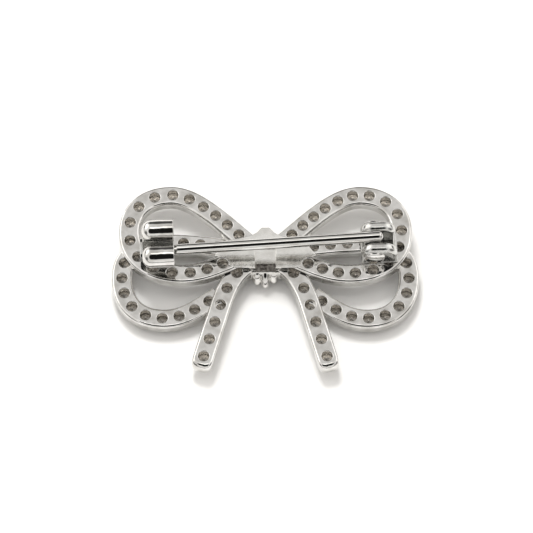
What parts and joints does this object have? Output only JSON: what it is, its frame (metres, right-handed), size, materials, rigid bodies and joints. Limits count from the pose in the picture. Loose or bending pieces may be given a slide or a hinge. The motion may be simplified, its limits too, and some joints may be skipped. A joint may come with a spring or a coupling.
{
  "type": "brooch",
  "caption": "Bow brooch with stone-set ribbon loops and tails, a pleated knot, and a hinged pin that closes into a jaw catch on its back.",
  "frame": {"origin": "middle of the brooch, on the surface that it lies on face down", "axes": "+X along the bow from catch to hinge, +Y towards the tops of the loops, +Z out of the back towards the pin"},
  "size_m": [0.0338, 0.0226, 0.0071],
  "materials": {
    "ribbons": "polished rhodium plate over cast silver",
    "findings": "polished rhodium plate",
    "pin": "polished hard-drawn wire",
    "stones": "clear faceted stones"
  },
  "bodies": {
    "brooch": {"back_plate": "ribbons", "knot": "ribbons", "upper_loop_left": "ribbons", "upper_loop_right": "ribbons", "lower_loop_left": "ribbons", "lower_loop_right": "ribbons", "tail_left": "ribbons", "tail_right": "ribbons", "stones_upper_left": "stones", "stones_upper_right": "stones", "stones_lower_left": "stones", "stones_lower_right": "stones", "stones_tail_left": "stones", "stones_tail_right": "stones", "catch_base": "findings", "catch_jaw_near": "findings", "catch_jaw_far": "findings", "hinge_yoke": "findings", "hinge_rivet": "findings"},
    "pin": {"pin_stem": "pin"}
  },
  "joints": [
    {"name": "pin_swing", "type": "hinge", "parent": "brooch", "child": "pin", "pos_m": [0.01189, 0.00342, 0.0044], "axis": [-0.0436, 0.999, 0], "range_deg": [0, 95]}
  ]
}
